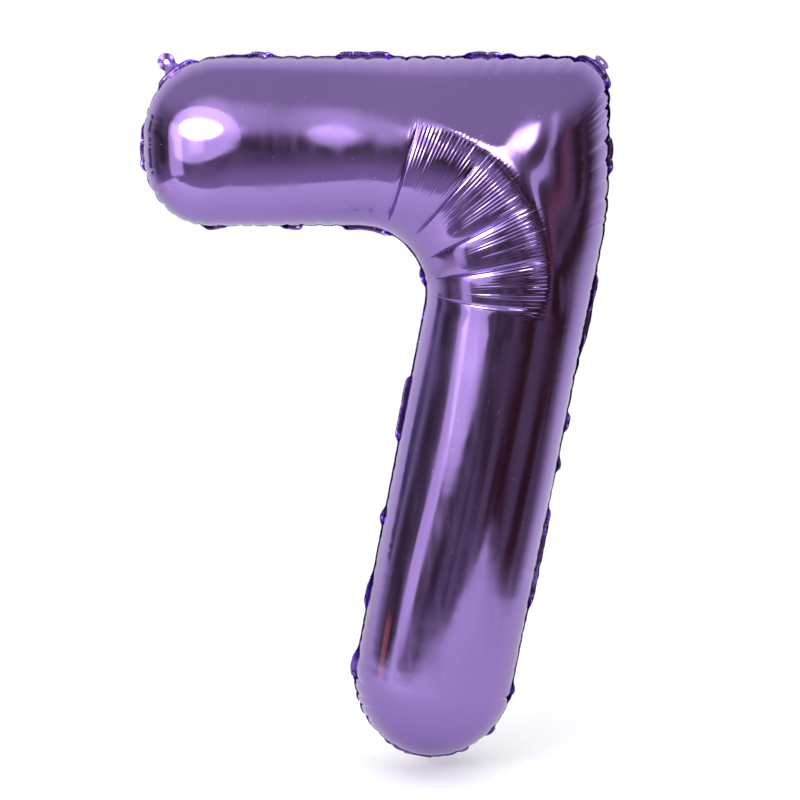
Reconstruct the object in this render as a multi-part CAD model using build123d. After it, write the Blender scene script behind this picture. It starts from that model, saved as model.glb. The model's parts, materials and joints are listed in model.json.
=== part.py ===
"""Inflated foil balloon in the shape of the digit seven, in millimetres.

Frame: +X to the reader's right, +Z up, the front faces -Y, and the origin is the centre of the
hole in the left hang tab.  The front and back films are domed shells, each with a flat seam
band.  The bands lie face to face in the plane Y = 0, where they are welded.  The two hang tabs,
the fill neck and the two strips of the self-sealing valve are separate pieces, each on a film
hinge that lies in the seam plane.
"""
import os
from math import cos, radians, sin, sqrt, tan

from build123d import *

# Films and seam
FILM = 0.8  # drawn thickness of one foil film; the real film is far thinner
SEAM = 6.0  # width of the welded band outside the inflated outline
WELD_MARGIN = 2.0  # how far the band runs on inside the outline
HINGE_GAP = 0.5  # clearance between a band and the rounded root of a piece hinged to it
SLACK = 0.2  # how far past a curved edge's sagitta its straight cut goes

# Arm of the seven: the horizontal tube
ARM_R = 99.0
ARM_TOP_END_R = 94.0  # corner radius of the arm's end, above
ARM_LOW_END_R = 78.0  # and below
WIDTH = 548.0  # whole inflated outline, left to right

# Elbow
CORNER_R = 50.0  # outer corner
BEND_R = 80.4  # inner corner
ELBOW_ANGLES = (12, 24, 34, 41, 45, 49, 53, 60, 70, 80, 90)  # cross-sections, from upright

# Stem: the leaning tube
STEM_R = 96.0
LEAN = 10.8  # degrees from upright
SHOULDER_DROP = 182.0  # from the arm's top down to where the right side starts to lean
SHOULDER_R = 440.0
HEIGHT = 844.0  # whole inflated outline, top to foot

# Both tubes close at their ends as a quarter ellipse, cut at these angles
END_ANGLES = (90, 70, 52, 36, 22, 12, 5)
TUBE_STEPS = (0.33, 0.67)  # cross-sections between the elbow and an end, as shares

# Hang tabs
TAB_HEAD_R = 10.2
TAB_HOLE_R = 3.3
TAB_REACH = 10.4  # from the hinge line to the hole
TAB_ROOT = 24.0  # width at the hinge line
TAB_WAIST = 14.0  # width where the flared root runs in under the head
TAB_WAIST_REACH = 5.0
TAB_FILLET = 2.5
LEFT_TAB_ANGLE = -37.5  # direction in degrees clockwise from straight up
RIGHT_TAB_ANGLE = 44.0
RIGHT_TAB_BACK = 65.0  # how far the right tab is bent to the back

# Fill neck
NECK_FILM = 1.2
NECK_WIDTH = 34.0
NECK_MOUTH = 29.0
NECK_LENGTH = 46.0
NECK_BACK = 100.0  # how far the neck is folded to the back
CHANNEL_WIDTH = 20.0
CHANNEL_DEPTH = 0.5  # in each of the neck's films

# Valve strips
STRIP = 0.4  # thickness
STRIP_GAP = 0.4  # between the two strips
STRIP_WIDTH = 30.0
STRIP_TIP = 24.0
STRIP_LENGTH = 118.0
STRIP_CORNER_R = 5.0


def ray(angle):
    """Unit direction in the seam plane, clockwise from straight up."""
    return Vector(sin(radians(angle)), cos(radians(angle)))


def hinge_offset(edge_radius, width, film):
    """Distance from the centre of a curved edge to the hinge line of a piece outside it."""
    sagitta = width**2 / (8 * edge_radius)
    return edge_radius - sagitta - SLACK + HINGE_GAP + film


# The seven's outline, as points X, Z of the seam plane, starting from the hole at the origin
TAB_SPAN = hinge_offset(ARM_TOP_END_R + SEAM, TAB_ROOT, FILM) + TAB_REACH
ARM_TOP_END = ray(LEFT_TAB_ANGLE) * -TAB_SPAN  # centre of the corner that carries the left tab
LEFT = ARM_TOP_END.X - ARM_TOP_END_R
TOP = ARM_TOP_END.Y + ARM_TOP_END_R
RIGHT = LEFT + WIDTH
ARM_BASE = TOP - 2 * ARM_R
CORNER = Vector(RIGHT - CORNER_R, TOP - CORNER_R)
DOWN_STEM = ray(180 + LEAN)
ACROSS_STEM = ray(90 + LEAN)
SHOULDER = Vector(RIGHT, TOP - SHOULDER_DROP)
FOOT_DROP = HEIGHT - SHOULDER_DROP - STEM_R  # from the shoulder to the foot's centre
FOOT_SLIDE = (FOOT_DROP - STEM_R * ACROSS_STEM.Y) / -DOWN_STEM.Y
FOOT = SHOULDER + DOWN_STEM * FOOT_SLIDE - ACROSS_STEM * STEM_R
FOOT_RIGHT = FOOT + (ACROSS_STEM + DOWN_STEM) * STEM_R
FOOT_LEFT = FOOT + (DOWN_STEM - ACROSS_STEM) * STEM_R
INNER_CORNER = FOOT_LEFT + DOWN_STEM * ((ARM_BASE - FOOT_LEFT.Y) / DOWN_STEM.Y)
INNER_RUN = BEND_R * tan(radians(90 + LEAN) / 2)  # from the sharp corner to the arc's start
BEND = Vector(INNER_CORNER.X - INNER_RUN, ARM_BASE - BEND_R)  # centre of the inner corner


def outline(margin):
    """The seven as a flat face in X, Y, grown by a margin."""
    corners = [
        Vector(LEFT, TOP),
        Vector(RIGHT, TOP),
        SHOULDER,
        FOOT_RIGHT,
        FOOT_LEFT,
        INNER_CORNER,
        Vector(LEFT, ARM_BASE),
    ]
    foot_r = STEM_R * 0.999
    radii = [ARM_TOP_END_R, CORNER_R, SHOULDER_R, foot_r, foot_r, BEND_R, ARM_LOW_END_R]
    edge = FilletPolyline(*corners, radius=radii, close=True)
    return offset(make_face(edge.edges()), margin)


def half_ring(flat, start, angle, depth):
    """Front half of a cross-section: an ellipse across the flat outline, along a ray."""
    reach = Line(start, start + ray(angle) * WIDTH)
    chord = (reach & flat).edges().sort_by_distance(start)[0]
    middle = chord @ 0.5
    side = Vector(ray(angle).X, 0, ray(angle).Y)
    front = Vector(0, -1, 0)
    plane = Plane(Vector(middle.X, 0, middle.Y), x_dir=side, z_dir=side.cross(front))
    arc = EllipticalCenterArc((0, 0), chord.length / 2, depth, arc_size=180)
    return plane * make_face([arc, Line(arc @ 1, arc @ 0)])


def tube_rings(flat, angle, away, radius, wall):
    """Cross-sections of one tube from the elbow out to its end."""
    heel = BEND + ray(angle) * (BEND_R + radius)
    length = (Line(heel, heel + away * HEIGHT) & flat).edges()[0].length
    end_length = radius - wall
    rings = []
    for share in TUBE_STEPS:
        start = BEND + away * (length - end_length) * share
        rings.append(half_ring(flat, start, angle, radius - wall))
    for end_angle in END_ANGLES:
        start = BEND + away * (length - end_length * (1 - cos(radians(end_angle))))
        rings.append(half_ring(flat, start, angle, (radius - wall) * sin(radians(end_angle))))
    return rings


def half_body(wall):
    """Front half of the inflated seven, smaller by a wall all over."""
    flat = outline(-wall)
    stem_turn = 90 + LEAN
    arm = tube_rings(flat, 0, Vector(-1, 0), ARM_R, wall)
    elbow = []
    for angle in (0, *ELBOW_ANGLES, stem_turn):
        depth = ARM_R + (STEM_R - ARM_R) * angle / stem_turn
        elbow.append(half_ring(flat, BEND, angle, depth - wall))
    stem = tube_rings(flat, stem_turn, DOWN_STEM, STEM_R, wall)
    return loft([*reversed(arm), *elbow, *stem])


def hinge_plane(centre, edge_radius, angle, width, film):
    """Plane at a hinge line: local X points out of the balloon, Y runs along the line and Z
    points to the front.  The centre and radius are those of the band's curved edge."""
    out = ray(angle)
    at = centre + out * hinge_offset(edge_radius, width, film)
    return Plane(Vector(at.X, 0, at.Y), x_dir=(out.X, 0, out.Y), z_dir=(0, -1, 0))


LEFT_HINGE = hinge_plane(ARM_TOP_END, ARM_TOP_END_R + SEAM, LEFT_TAB_ANGLE, TAB_ROOT, FILM)
RIGHT_HINGE = hinge_plane(CORNER, CORNER_R + SEAM, RIGHT_TAB_ANGLE, TAB_ROOT, FILM)
NECK_HINGE = hinge_plane(FOOT, STEM_R + SEAM, 180 + LEAN, NECK_WIDTH, NECK_FILM)


def band_cut(plane, width, film):
    """What is cut off a seam band to leave a straight edge beside a hinge line."""
    cut = Box(2 * SEAM, width + 2, 4 * SEAM, align=(Align.MIN, Align.CENTER, Align.CENTER))
    return plane * Pos(-film - HINGE_GAP, 0, 0) * cut


def front_foil():
    """Front film: the dome and its half of the seam band."""
    dome = half_body(0) - half_body(FILM)
    band = extrude(Plane.XZ * (outline(SEAM) - outline(-WELD_MARGIN)), FILM)
    band -= band_cut(LEFT_HINGE, TAB_ROOT, FILM)
    band -= band_cut(RIGHT_HINGE, TAB_ROOT, FILM)
    band -= band_cut(NECK_HINGE, NECK_WIDTH, NECK_FILM)
    return dome + band


def hinged_plate(flat, width, low, high):
    """A flat piece between two heights, with a rounded root on its hinge line."""
    plate = Pos(0, 0, low) * extrude(flat, high - low)
    root = Rot(90, 0, 0) * Cylinder(high, width)
    return plate + (root & (Pos(0, 0, (low + high) / 2) * Box(2 * high, width, high - low)))


def trapezoid(start_width, end_width, length):
    """A flat piece that starts on the hinge line and runs out along X."""
    return make_face(
        Polyline(
            (0, -start_width / 2),
            (length, -end_width / 2),
            (length, end_width / 2),
            (0, start_width / 2),
            close=True,
        )
    )


def hang_tab():
    """Both plies of a hang tab, welded together, at its hinge line."""
    flat = trapezoid(TAB_ROOT, TAB_WAIST, TAB_WAIST_REACH) + Pos(TAB_REACH, 0) * Circle(TAB_HEAD_R)
    necks = flat.vertices().filter_by_position(Axis.X, SLACK, TAB_REACH)
    rounded = fillet(necks, TAB_FILLET)
    return hinged_plate(rounded - Pos(TAB_REACH, 0) * Circle(TAB_HOLE_R), TAB_ROOT, -FILM, FILM)


def neck_film():
    """The neck's front film, with its half of the channel, at the hinge line."""
    film = hinged_plate(trapezoid(NECK_WIDTH, NECK_MOUTH, NECK_LENGTH), NECK_WIDTH, 0, NECK_FILM)
    channel = Box(4 * NECK_LENGTH, CHANNEL_WIDTH, 2 * CHANNEL_DEPTH)
    return film - channel


def valve_strip():
    """The valve's front strip, at its hinge line; it runs into the balloon."""
    flat = trapezoid(STRIP_WIDTH, STRIP_TIP, STRIP_LENGTH)
    tip = flat.vertices().group_by(Axis.X)[-1]
    rounded = fillet(tip, STRIP_CORNER_R)
    return Pos(0, 0, STRIP_GAP / 2) * extrude(rounded, STRIP)


FRONT_TO_BACK = Plane.XZ  # the seam plane, which mirrors a front piece to a back piece
STRIP_INSET = STEM_R - WELD_MARGIN - HINGE_GAP  # from the foot's centre, before the sagitta
STRIP_ROOT = FOOT + DOWN_STEM * sqrt(STRIP_INSET**2 - (STRIP_WIDTH / 2) ** 2)
VALVE_HINGE = Plane(
    Vector(STRIP_ROOT.X, 0, STRIP_ROOT.Y),
    x_dir=(-DOWN_STEM.X, 0, -DOWN_STEM.Y),
    z_dir=(0, -1, 0),
)
RIGHT_TAB_REST = RIGHT_HINGE * Rot(0, RIGHT_TAB_BACK, 0)
NECK_REST = NECK_HINGE * Rot(0, NECK_BACK, 0)


if __name__ == "__main__":
    os.makedirs("parts", exist_ok=True)
    front = front_foil()
    tab = hang_tab()
    neck = neck_film()
    strip = valve_strip()
    pieces = {
        "front_foil": front,
        "back_foil": mirror(front, FRONT_TO_BACK),
        "hang_tab_left": LEFT_HINGE * tab,
        "hang_tab_right": RIGHT_TAB_REST * tab,
        "neck_front_film": NECK_REST * neck,
        "neck_back_film": NECK_REST * mirror(neck, Plane.XY),
        "valve_front_strip": VALVE_HINGE * strip,
        "valve_back_strip": VALVE_HINGE * mirror(strip, Plane.XY),
    }
    for name, piece in pieces.items():
        export_step(piece, f"parts/{name}.step")
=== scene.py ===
import json
from math import cos, degrees, pi, radians, sin, tan

import bmesh
import bpy
import numpy as np
from bpy.props import FloatProperty, FloatVectorProperty, IntProperty, PointerProperty
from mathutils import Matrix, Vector


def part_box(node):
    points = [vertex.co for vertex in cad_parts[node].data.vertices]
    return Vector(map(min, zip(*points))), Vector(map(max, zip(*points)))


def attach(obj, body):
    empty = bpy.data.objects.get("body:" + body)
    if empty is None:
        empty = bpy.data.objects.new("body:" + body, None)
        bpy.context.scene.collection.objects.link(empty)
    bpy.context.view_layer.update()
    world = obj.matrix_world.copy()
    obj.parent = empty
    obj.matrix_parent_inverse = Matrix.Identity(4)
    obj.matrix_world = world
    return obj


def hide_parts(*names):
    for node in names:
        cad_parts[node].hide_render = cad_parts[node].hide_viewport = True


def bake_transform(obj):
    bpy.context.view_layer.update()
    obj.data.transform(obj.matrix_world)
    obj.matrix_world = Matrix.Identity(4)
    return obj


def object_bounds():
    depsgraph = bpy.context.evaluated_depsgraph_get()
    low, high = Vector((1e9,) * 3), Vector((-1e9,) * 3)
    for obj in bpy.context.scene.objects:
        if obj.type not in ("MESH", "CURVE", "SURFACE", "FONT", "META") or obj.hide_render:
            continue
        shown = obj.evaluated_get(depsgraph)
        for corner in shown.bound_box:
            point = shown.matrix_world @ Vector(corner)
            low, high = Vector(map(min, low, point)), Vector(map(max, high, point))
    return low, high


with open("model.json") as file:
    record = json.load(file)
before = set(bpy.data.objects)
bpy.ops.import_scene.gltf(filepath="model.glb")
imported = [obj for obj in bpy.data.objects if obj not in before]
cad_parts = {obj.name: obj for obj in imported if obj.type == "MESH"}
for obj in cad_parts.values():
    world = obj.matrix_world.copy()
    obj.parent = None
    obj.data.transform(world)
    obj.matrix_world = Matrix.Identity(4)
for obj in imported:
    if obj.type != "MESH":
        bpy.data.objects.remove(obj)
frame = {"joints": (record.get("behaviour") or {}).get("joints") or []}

bl_info = {
    "name": "Foil balloon seven",
    "version": (1, 0, 0),
    "blender": (4, 5, 0),
    "location": "View3D > Sidebar > Balloon",
    "description": "Builds an inflated foil balloon in the shape of the digit seven",
    "category": "Add Mesh",
}

CAD_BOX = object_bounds()
FOIL_LOW, FOIL_HIGH = (Vector(corner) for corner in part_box("front_foil"))
JOINTS = {joint["name"]: joint for joint in frame["joints"]}


# ---------------------------------------------------------------- sizes and colours


def length(name, description, default):
    """A length that can be set in the panel, in metres."""
    return FloatProperty(name=name, description=description, default=default, unit="LENGTH")


class BalloonSizes(bpy.types.PropertyGroup):
    """Sizes of the inflated seven."""

    seam: length("Seam width", "Width of the welded band", 0.006)
    arm_radius: length("Arm radius", "Half the arm's thickness", 0.099)
    stem_radius: length("Stem radius", "Half the stem's thickness", 0.096)
    lean: FloatProperty(
        name="Lean", description="Stem's angle from upright", default=radians(10.8), subtype="ANGLE"
    )
    shoulder_drop: length("Shoulder drop", "From the top down to where the right side leans", 0.182)
    bend_radius: length("Inner corner", "Radius of the inner corner", 0.0804)
    film: length("Film", "Distance between a film's faces", 0.0008)


class BalloonWrinkles(bpy.types.PropertyGroup):
    """Sizes of the creases and puckers."""

    fold_depth: length("Fold depth", "Depth of a crease at the elbow", 0.0024)
    pillow: length("Pillow", "Bulge between two creases", 0.0020)
    pleat: length("Pleat", "Height of the fine pleats", 0.00048)
    pucker: length("Pucker", "Height of the lobes along the seam", 0.0030)
    lip: length("Lip", "Rise of the film past the pleats", 0.0066)
    seed: IntProperty(name="Seed", description="Changes the puckers", default=7)


class BalloonColours(bpy.types.PropertyGroup):
    """Colours of the films."""

    foil: FloatVectorProperty(
        name="Foil", description="Mirror colour of the foil", subtype="COLOR", size=3,
        default=(0.31, 0.20, 0.53),
    )
    foil_deep: FloatVectorProperty(
        name="Deep foil", description="Colour of the welded band", subtype="COLOR", size=3,
        default=(0.17, 0.07, 0.50),
    )
    valve: FloatVectorProperty(
        name="Valve film", description="Colour of the valve strips", subtype="COLOR", size=3,
        default=(0.80, 0.83, 0.88),
    )


# ---------------------------------------------------------------- outline of the seven


def ray(angle):
    """Directions X, Z at angles in degrees clockwise from straight up."""
    angle = np.radians(angle)
    return np.stack([np.sin(angle), np.cos(angle)], axis=-1)


def smooth(low, high, value):
    """0 below low, 1 above high, and a smooth step between."""
    t = np.clip((value - low) / (high - low), 0, 1)
    return t * t * (3 - 2 * t)


class Outline:
    """The inflated outline in X, Z, clockwise from its top left, and places on it."""

    CORNER_RADIUS = 0.050
    SHOULDER_RADIUS = 0.440
    END_TOP_RADIUS = 0.094
    END_LOW_RADIUS = 0.078
    ARC_STEP = 1.0  # degrees between points of an arc

    def __init__(self, sizes):
        left = FOIL_LOW.x + sizes.seam
        right = FOIL_HIGH.x - sizes.seam
        top = FOIL_HIGH.z - sizes.seam
        foot = FOIL_LOW.z + sizes.seam
        lean = degrees(sizes.lean)
        self.down = ray(180 + lean)
        self.turn = 90 + lean
        across = ray(self.turn)
        shoulder = np.array([right, top - sizes.shoulder_drop])
        centre_z = foot + sizes.stem_radius
        run = (centre_z + across[1] * sizes.stem_radius - shoulder[1]) / self.down[1]
        self.foot = shoulder + self.down * run - across * sizes.stem_radius
        foot_right = self.foot + (self.down + across) * sizes.stem_radius
        foot_left = self.foot + (self.down - across) * sizes.stem_radius
        base = top - 2 * sizes.arm_radius
        inner = foot_left + self.down * ((base - foot_left[1]) / self.down[1])
        corners = [
            (left, top), (right, top), shoulder, foot_right, foot_left, inner, (left, base),
        ]
        end = sizes.stem_radius * 0.999
        radii = [
            self.END_TOP_RADIUS, self.CORNER_RADIUS, self.SHOULDER_RADIUS, end, end,
            sizes.bend_radius, self.END_LOW_RADIUS,
        ]
        self.points = self.rounded(np.array([tuple(corner) for corner in corners]), radii)
        step = np.diff(self.points, axis=0)
        self.along = np.concatenate([[0], np.cumsum(np.linalg.norm(step, axis=1))])
        self.length = self.along[-1]
        back = sizes.bend_radius * tan(radians(self.turn) / 2)
        self.bend = np.array([inner[0] - back, base - sizes.bend_radius])
        self.left, self.right, self.top, self.base = left, right, top, base

    def rounded(self, corners, radii):
        """A closed run of points round the corners, each rounded to its radius."""
        points = []
        for index, corner in enumerate(corners):
            before = corners[index - 1] - corner
            after = corners[(index + 1) % len(corners)] - corner
            before = before / np.linalg.norm(before)
            after = after / np.linalg.norm(after)
            half = np.arccos(np.clip(before @ after, -1, 1)) / 2
            middle = (before + after) / np.linalg.norm(before + after)
            centre = corner + middle * radii[index] / sin(half)
            start = corner + before * radii[index] / tan(half) - centre
            sweep = pi - 2 * half
            sign = np.sign(before[0] * after[1] - before[1] * after[0])
            count = max(3, int(degrees(sweep) / self.ARC_STEP))
            for share in np.linspace(0, 1, count):
                turn = sign * sweep * share
                points.append(
                    centre
                    + np.array(
                        [
                            start[0] * cos(turn) + start[1] * sin(turn),
                            start[1] * cos(turn) - start[0] * sin(turn),
                        ]
                    )
                )
        points.append(points[0])
        return np.array(points)

    def at(self, along):
        """Points X, Z at distances along the outline."""
        along = np.mod(along, self.length)
        return np.stack(
            [np.interp(along, self.along, self.points[:, axis]) for axis in (0, 1)], axis=-1
        )

    def outward(self, along):
        """Outward directions X, Z at distances along the outline."""
        step = 0.0015
        tangent = self.at(along + step) - self.at(along - step)
        tangent /= np.linalg.norm(tangent, axis=-1, keepdims=True)
        return np.stack([-tangent[..., 1], tangent[..., 0]], axis=-1)

    def crossings(self, start, direction):
        """Distances along the outline where a ray crosses it, the nearest first."""
        first = self.points[:-1] - start
        edge = np.diff(self.points, axis=0)
        slope = edge[:, 0] * direction[1] - edge[:, 1] * direction[0]
        slope = np.where(np.abs(slope) < 1e-12, 1e-12, slope)
        share = (direction[0] * first[:, 1] - direction[1] * first[:, 0]) / slope
        reach = (edge[:, 0] * first[:, 1] - edge[:, 1] * first[:, 0]) / slope
        hit = np.flatnonzero((share >= 0) & (share < 1) & (reach > 0))
        hit = hit[np.argsort(reach[hit])]
        span = np.diff(self.along)[hit]
        return (self.along[hit] + share[hit] * span)[[0, -1]]

    def nearest(self, point):
        """Distance along the outline of the place nearest a point."""
        gap = np.linalg.norm(self.points - np.array(point), axis=1)
        return self.along[int(np.argmin(gap))]


# ---------------------------------------------------------------- shape of a film


class Film:
    """Points of the front film, in lines that run from the seam up to the crown.

    The lines stand side by side all round the outline.  Along the arm and the stem two lines
    meet at the crown; round each end they all meet at one pole.
    """

    ROWS = 36  # steps from the seam to the crown, an even number
    FOLD_STEP = 0.26  # degrees between lines at the elbow
    ARM_STEP = 0.0014
    STEM_STEP = 0.0028
    PIVOT_SHIFT = np.array([0.013, 0.0066])  # from the inner corner's centre
    END_INSET = 1.25  # from the arm's end to its pole, in arm radii
    FLANGE = 0.001  # how far the film runs on over the welded band
    ROW_CROWDING = 1.2  # above 1, rows crowd towards the seam
    CORNER_NEAR = (0.03, 0.16)  # distances over which the top right corner's profile fades
    CORNER_SHARPER = 0.22
    END_NEAR = (0.0, 0.24)  # and the arm's end's
    END_BLUNTER = 0.38

    # The elbow: angles in degrees round the pivot, and reaches from it
    CREASES = np.array([16.2, 39.7, 60.8, 78.8, 95.5])
    CREASE_STRENGTH = np.array([1.0, 1.0, 1.0, 0.9, 0.3])
    PILLOW_ENDS = (3.0, 108.0)  # angles before the first crease and past the last one
    PILLOW_RISE = (0.076, 0.112)  # reaches over which pillows and creases rise
    PILLOW_FALL = (0.176, 0.212)
    CUT_WIDTH = 0.0009  # of a crease's sharp cut
    DIP_WIDTH = 0.0045  # and of the shallow dip round it
    DIP_SHARE = 0.2
    PLEAT_ANGLE = 1.3  # between pleats
    PLEAT_SLOTS = 100  # more pleats than the elbow has room for
    PLEAT_SIZES = (0.5, 1.25)
    PLEAT_INNER = (0.115, 0.185)  # reaches between which pleats start
    PLEAT_OUTER = (0.198, 0.210)  # and between which they end
    PLEAT_INNER_FADE = 0.02
    PLEAT_OUTER_FADE = 0.010
    PLEAT_RISE = (13, 18)  # angles over which the pleats come
    PLEAT_FALL = (96, 101)  # and go
    RIM = (0.170, 0.195)  # reaches over which pleats grow taller towards their outer ends
    RIM_GROWTH = 1.2
    LIP_REACH = 0.208  # to the crest of the lip
    LIP_SLOPES = (0.010, 0.026)  # its widths towards the pleats and away from them
    LIP_RISE = (12, 26)
    LIP_FALL = (80, 98)

    LOBE = 0.020  # from one pinch of the seam to the next
    PATCH_SHORT = 0.11  # lengths over which the crimps come and go along the seam
    PATCH_LONG = 0.17
    TAB_CLEAR = (0.014, 0.032)  # from a tab's middle: where the seam is still flat, then loose
    DRAW_IN = 0.0042  # how far a pinch draws the seam in
    SWELLS = (0.31, 0.23, 0.17, 0.11)  # lengths of the shallow unevenness
    SWELL_SLOPE = 0.0032  # its height over its length

    def __init__(self, outline, sizes, wrinkles):
        self.outline = outline
        self.sizes = sizes
        self.wrinkles = wrinkles
        self.pivot = outline.bend + self.PIVOT_SHIFT
        self.lay_lines()
        self.seam_waves()
        self.base_points()

    def rings(self):
        """Starts and angles of the cross-sections, from the arm's end to the foot."""
        arm_run = self.pivot[0] - self.outline.left - self.END_INSET * self.sizes.arm_radius
        stem_run = (self.outline.foot - self.pivot) @ self.outline.down
        arm = np.arange(round(arm_run / self.ARM_STEP), 0, -1) / round(arm_run / self.ARM_STEP)
        fold = np.linspace(0, self.outline.turn, round(self.outline.turn / self.FOLD_STEP))
        stem_count = round(stem_run / self.STEM_STEP)
        stem_count += (len(arm) + len(fold) + stem_count + 1) % 2
        stem = np.arange(1, stem_count + 1) / stem_count
        starts = [self.pivot - (share * arm_run, 0) for share in arm]
        starts += [self.pivot for _ in fold]
        starts += [self.pivot + self.outline.down * share * stem_run for share in stem]
        angles = [0] * len(arm) + list(fold) + [self.outline.turn] * len(stem)
        return starts, angles

    def lay_lines(self):
        """Where each line starts on the outline, and the crown point that it runs to."""
        inner, outer, crowns, depths = [], [], [], []
        for start, angle in zip(*self.rings()):
            low, high = self.outline.crossings(start, ray(angle))
            near, far = self.outline.at(low), self.outline.at(high)
            half = np.linalg.norm(far - near) / 2
            share = angle / self.outline.turn
            radius = self.sizes.arm_radius * (1 - share) + self.sizes.stem_radius * share
            spare = max(0, half - radius)
            inner.append(low)
            outer.append(high)
            crowns.append(near + (far - near) * (half - 0.35 * spare) / (2 * half))
            depths.append(radius - 0.03 * spare)
        foot = np.linspace(outer[-1], inner[-1], self.odd(inner[-1] - outer[-1]) + 2)[1:-1]
        wrap = outer[0] + self.outline.length
        end = np.linspace(inner[0], wrap, self.odd(wrap - inner[0]) + 2)[1:-1]
        self.along = np.concatenate([outer, foot, inner[::-1], end])
        crowns, depths = np.array(crowns), np.array(depths)
        self.crown = np.concatenate(
            [crowns, np.tile(crowns[-1], (len(foot), 1)), crowns[::-1],
             np.tile(crowns[0], (len(end), 1))]
        )
        self.depth = np.concatenate(
            [depths, np.full(len(foot), depths[-1]), depths[::-1], np.full(len(end), depths[0])]
        )
        self.start = self.outline.at(self.along)
        self.out = self.outline.outward(self.along)

    def odd(self, run):
        """An odd number of lines for a stretch of the outline."""
        return round(run / self.ARM_STEP / 2) * 2 + 1

    def strength(self):
        """How strongly the seam is puckered along the outline, from 0 to 1."""
        o = self.outline
        stem_top = o.bend + o.down * 0.05
        places = [
            ((o.left, (o.top + o.base) / 2), 0.9),
            ((o.left + 0.03, o.top - 0.03), 0.9),
            ((o.left + 0.11, o.top), 0.7),
            ((o.left + 0.25, o.top), 0.55),
            ((o.right - 0.12, o.top), 0.6),
            ((o.right - 0.03, o.top), 0.9),
            ((o.right, o.top - 0.06), 1.0),
            ((o.right, o.top - 0.15), 0.7),
            ((o.right - 0.02, o.top - 0.30), 0.25),
            (o.foot + ray(o.turn) * 0.1 - o.down * 0.15, 0.2),
            (o.foot + ray(o.turn) * 0.1, 0.7),
            (o.foot + o.down * 0.1, 0.75),
            (o.foot - ray(o.turn) * 0.1, 0.9),
            (o.foot - ray(o.turn) * 0.1 - o.down * 0.12, 0.25),
            (stem_top + ray(o.turn) * 0.08, 0.04),
            (o.bend + ray(50) * 0.08, 0.02),
            (o.bend + ray(0) * 0.08, 0.15),
            ((o.left + 0.17, o.base), 0.45),
            ((o.left + 0.06, o.base), 0.9),
        ]
        spots = np.array([o.nearest(place) for place, _ in places])
        values = np.array([value for _, value in places])
        order = np.argsort(spots)
        level = np.interp(self.along, spots[order], values[order], period=o.length)
        return level * self.loose

    def looseness(self):
        """0 along the seam where a tab or the neck leaves it, and 1 elsewhere."""
        o = self.outline
        loose = np.ones_like(self.along)
        for name in ("left_tab_fold", "right_tab_fold", "neck_fold"):
            hinge = JOINTS[name]["pos_m"]
            spot = o.nearest((hinge[0], hinge[2]))
            gap = np.abs(np.mod(self.along - spot + o.length / 2, o.length) - o.length / 2)
            loose = loose * smooth(*self.TAB_CLEAR, gap)
        return loose

    def pinches(self, spacing, seed):
        """Pinch lines at uneven spacing along the seam: closeness, strength and reach."""
        rng = np.random.default_rng(self.wrinkles.seed + seed)
        count = round(self.outline.length / spacing)
        knots = (np.arange(count) + rng.uniform(-0.35, 0.35, count)) * self.outline.length / count
        along = np.mod(self.along - knots[0], self.outline.length)
        edges = np.append(knots - knots[0], self.outline.length)
        cell = np.clip(np.searchsorted(edges, along, side="right") - 1, 0, count - 1)
        share = (along - edges[cell]) / (edges[cell + 1] - edges[cell])
        nearest = np.where(share < 0.5, cell, (cell + 1) % count)
        closeness = 1 - np.abs(np.sin(pi * share)) ** 0.55
        return (
            closeness,
            rng.uniform(0.35, 1.0, count)[nearest],
            rng.uniform(0.5, 1.5, count)[nearest],
        )

    def seam_waves(self):
        """How far the seam is drawn in, and out of its plane, along the outline."""
        self.loose = self.looseness()
        level = self.strength()
        closeness, power, _ = self.pinches(self.LOBE, 1)
        rng = np.random.default_rng(self.wrinkles.seed)
        wave = np.zeros_like(self.along)
        for span in (0.21, 0.105, 0.062, 0.034):
            turns = round(self.outline.length / span)
            phase = rng.uniform(0, 2 * pi)
            wave += span * np.sin(2 * pi * turns * self.along / self.outline.length + phase)
        self.level = level
        self.drawn_in = self.DRAW_IN * level * closeness * power
        self.wave = 0.006 * level * wave

    def base_points(self):
        """Smooth inflated shape, and its normals."""
        share = np.linspace(0, 1, self.ROWS + 1) ** self.ROW_CROWDING
        angle = (pi / 2 * share)[None, :, None]
        start = self.start[:, None, :]
        crown = self.crown[:, None, :]
        flat = crown + (start - crown) * np.cos(angle)
        corner = np.array([self.outline.right, self.outline.top])
        to_corner = np.linalg.norm(self.start - corner, axis=1)
        to_end = self.crown[:, 0] - self.crown[:, 0].min()
        near_corner = 1 - smooth(*self.CORNER_NEAR, to_corner)
        near_end = 1 - smooth(*self.END_NEAR, to_end)
        power = 1 + self.CORNER_SHARPER * near_corner - self.END_BLUNTER * near_end
        height = self.depth[:, None] * np.sin(angle[:, :, 0]) ** power[:, None]
        height = np.sqrt(height**2 + self.sizes.film**2)
        flange = self.start + self.out * self.FLANGE
        points = np.zeros((len(self.along), self.ROWS + 2, 3))
        points[:, 1:, 0], points[:, 1:, 2] = flat[:, :, 0], flat[:, :, 1]
        points[:, 1:, 1] = -height
        points[:, 0, 0], points[:, 0, 2] = flange[:, 0], flange[:, 1]
        points[:, 0, 1] = -self.sizes.film
        across = np.gradient(points, axis=1)
        beside = np.roll(points, -1, axis=0) - np.roll(points, 1, axis=0)
        normal = np.cross(across, beside)
        normal /= np.maximum(np.linalg.norm(normal, axis=2, keepdims=True), 1e-12)
        normal[:, -1] = (0, -1, 0)
        normal[:, 0] = (0, -1, 0)
        self.base, self.normal = points, normal
        step = np.linalg.norm(np.diff(points[:, 1:], axis=1), axis=2)
        self.distance = np.zeros(points.shape[:2])
        self.distance[:, 2:] = np.cumsum(step, axis=1)

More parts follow.
